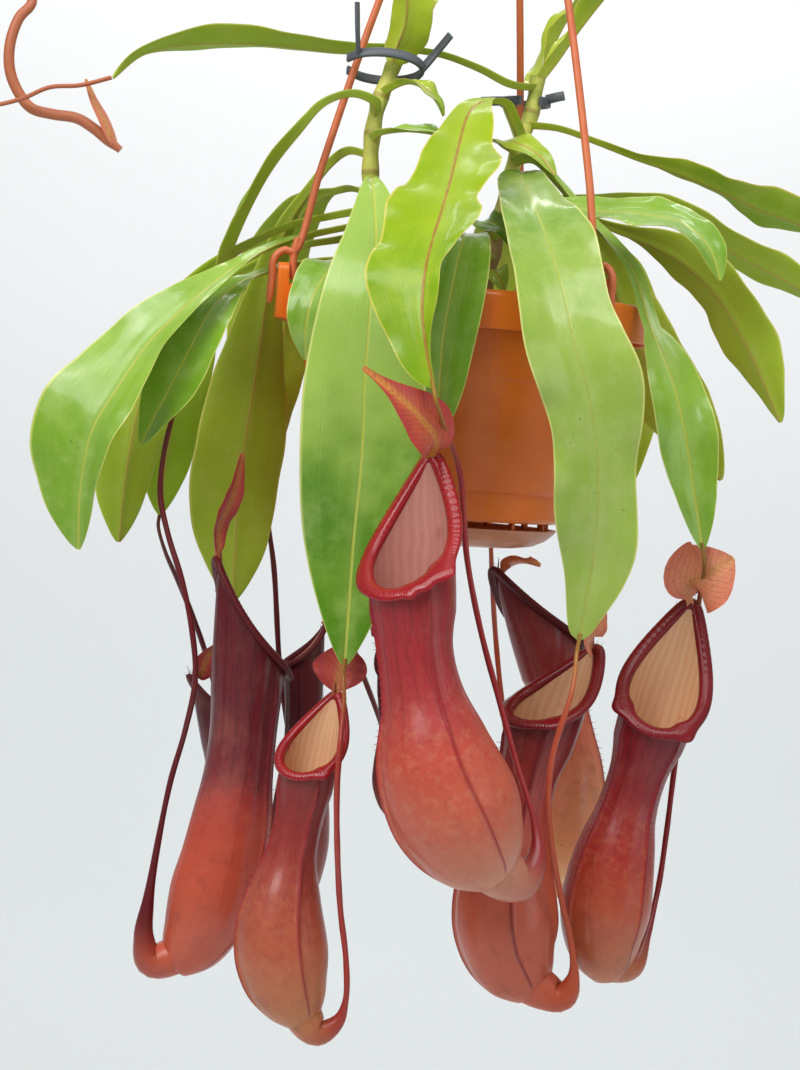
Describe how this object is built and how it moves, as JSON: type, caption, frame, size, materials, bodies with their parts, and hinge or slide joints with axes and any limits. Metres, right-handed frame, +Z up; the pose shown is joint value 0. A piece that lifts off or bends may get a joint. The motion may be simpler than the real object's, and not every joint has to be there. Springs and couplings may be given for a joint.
{
  "type": "hanging pitcher plant",
  "caption": "Tropical pitcher plant in a round plastic hanging pot with a drip saucer, wire hanger and stem clips; its pitchers hang from the leaf tips.",
  "frame": {"origin": "inside top of the hanger's hook, where the pot hangs, on the pot's axis", "axes": "+Z up along the pot's axis, +X to the right and -Y towards the viewer of the picture"},
  "size_m": [0.4496, 0.287, 0.656],
  "materials": {
    "pot": "satin terracotta plastic",
    "saucer": "satin pale terracotta plastic",
    "hanger": "satin plastic rods",
    "clip": "dark grey plastic",
    "soil": "moist peat and moss",
    "stem": "smooth green stem with leaf scars",
    "leaf": "glossy leathery leaf",
    "pitcher": "smooth waxy pitcher with a glossy ribbed lip"
  },
  "bodies": {
    "root": {"clip_left": "clip", "clip_right": "clip", "hook": "hanger", "leaf_a": "leaf", "leaf_b": "leaf", "leaf_back_far_right": "leaf", "leaf_back_left": "leaf", "leaf_back_middle": "leaf", "leaf_back_right": "leaf", "leaf_c": "leaf", "leaf_crown_left": "leaf", "leaf_crown_left_back": "leaf", "leaf_crown_right": "leaf", "leaf_crown_right_back": "leaf", "leaf_front_dark": "leaf", "leaf_left_arch": "leaf", "leaf_left_behind": "leaf", "leaf_left_big": "leaf", "leaf_left_inner": "leaf", "leaf_left_long": "leaf", "leaf_left_low": "leaf", "leaf_left_olive": "leaf", "leaf_left_pale": "leaf", "leaf_left_top": "leaf", "leaf_right_drooping": "leaf", "leaf_right_far": "leaf", "leaf_right_folded": "leaf", "leaf_right_olive": "leaf", "leaf_right_spoon": "leaf", "leaf_right_top": "leaf", "leaf_small_arch": "leaf", "leaf_small_middle": "leaf", "leaf_small_right": "leaf", "leaf_soil_pale": "leaf", "leaf_soil_yellow": "leaf", "pitcher_behind_front": "pitcher", "pitcher_bud": "pitcher", "pitcher_dark": "pitcher", "pitcher_front": "pitcher", "pitcher_leaf_b": "pitcher", "pitcher_left": "pitcher", "pitcher_left_behind": "pitcher", "pitcher_middle": "pitcher", "pitcher_right": "pitcher", "pitcher_small": "pitcher", "pot": "pot", "saucer": "saucer", "soil": "soil", "stem_left": "stem", "stem_right": "stem", "wire_back": "hanger", "wire_left": "hanger", "wire_right": "hanger"}
  },
  "joints": []
}
